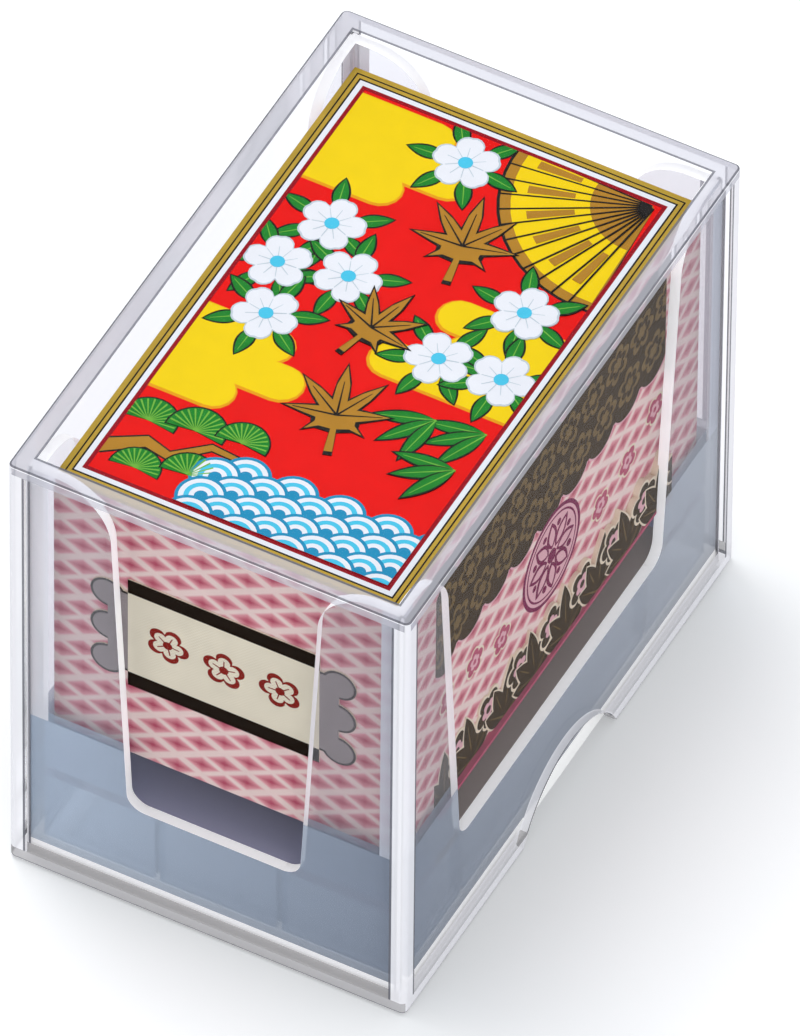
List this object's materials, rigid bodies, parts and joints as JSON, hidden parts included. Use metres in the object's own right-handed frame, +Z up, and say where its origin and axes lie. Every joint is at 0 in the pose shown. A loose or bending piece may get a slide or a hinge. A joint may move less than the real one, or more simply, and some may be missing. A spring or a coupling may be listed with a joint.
{
  "type": "flower card deck in a clear case",
  "caption": "Flower card deck in a printed paper jacket, carried in an open-sided clear tray under a lift-off clear cover.",
  "frame": {"origin": "centre of the base, on the table that the tray stands on", "axes": "+Z up, +Y along the cards away from the labelled end, +X across the cards"},
  "size_m": [0.039, 0.061, 0.0507],
  "materials": {
    "clear_case": "clear polished polystyrene",
    "jacket_paper": "printed paper",
    "label_print": "printed gloss card with a gold edge",
    "end_label_paper": "printed paper",
    "card_board": "pasted card with a folded back paper"
  },
  "bodies": {
    "tray": {"inner_tray": "clear_case", "tray_posts": "clear_case"},
    "winter": {"spare_card": "card_board", "card_paulownia_4": "card_board", "card_paulownia_3": "card_board", "card_paulownia_2": "card_board", "card_paulownia_1": "card_board", "card_willow_4": "card_board", "card_willow_3": "card_board", "card_willow_2": "card_board", "card_willow_1": "card_board", "card_maple_4": "card_board", "card_maple_3": "card_board", "card_maple_2": "card_board", "card_maple_1": "card_board"},
    "autumn": {"card_chrysanthemum_4": "card_board", "card_chrysanthemum_3": "card_board", "card_chrysanthemum_2": "card_board", "card_chrysanthemum_1": "card_board", "card_pampas_4": "card_board", "card_pampas_3": "card_board", "card_pampas_2": "card_board", "card_pampas_1": "card_board", "card_clover_4": "card_board", "card_clover_3": "card_board", "card_clover_2": "card_board", "card_clover_1": "card_board"},
    "summer": {"card_peony_4": "card_board", "card_peony_3": "card_board", "card_peony_2": "card_board", "card_peony_1": "card_board", "card_iris_4": "card_board", "card_iris_3": "card_board", "card_iris_2": "card_board", "card_iris_1": "card_board", "card_wisteria_4": "card_board", "card_wisteria_3": "card_board", "card_wisteria_2": "card_board", "card_wisteria_1": "card_board"},
    "spring": {"card_cherry_4": "card_board", "card_cherry_3": "card_board", "card_cherry_2": "card_board", "card_cherry_1": "card_board", "card_plum_4": "card_board", "card_plum_3": "card_board", "card_plum_2": "card_board", "card_plum_1": "card_board", "card_pine_4": "card_board", "card_pine_3": "card_board", "card_pine_2": "card_board", "card_pine_1": "card_board"},
    "jacket": {"paper_jacket": "jacket_paper", "top_label": "label_print", "end_label": "end_label_paper"},
    "cover": {"case_cover": "clear_case"}
  },
  "joints": [
    {"name": "cover_lift", "type": "slide", "parent": "jacket", "child": "cover", "axis": [0, 0, 1], "range_m": [0, 0.058]},
    {"name": "jacket_lift", "type": "slide", "parent": "spring", "child": "jacket", "axis": [0, 0, 1], "range_m": [0, 0.036]},
    {"name": "deck_lift", "type": "slide", "parent": "tray", "child": "winter", "axis": [0, 0, 1], "range_m": [0, 0.036]},
    {"name": "autumn_lift", "type": "slide", "parent": "winter", "child": "autumn", "axis": [0, 0, 1], "range_m": [0, 0.012]},
    {"name": "summer_lift", "type": "slide", "parent": "autumn", "child": "summer", "axis": [0, 0, 1], "range_m": [0, 0.012]},
    {"name": "spring_lift", "type": "slide", "parent": "summer", "child": "spring", "axis": [0, 0, 1], "range_m": [0, 0.012]}
  ]
}
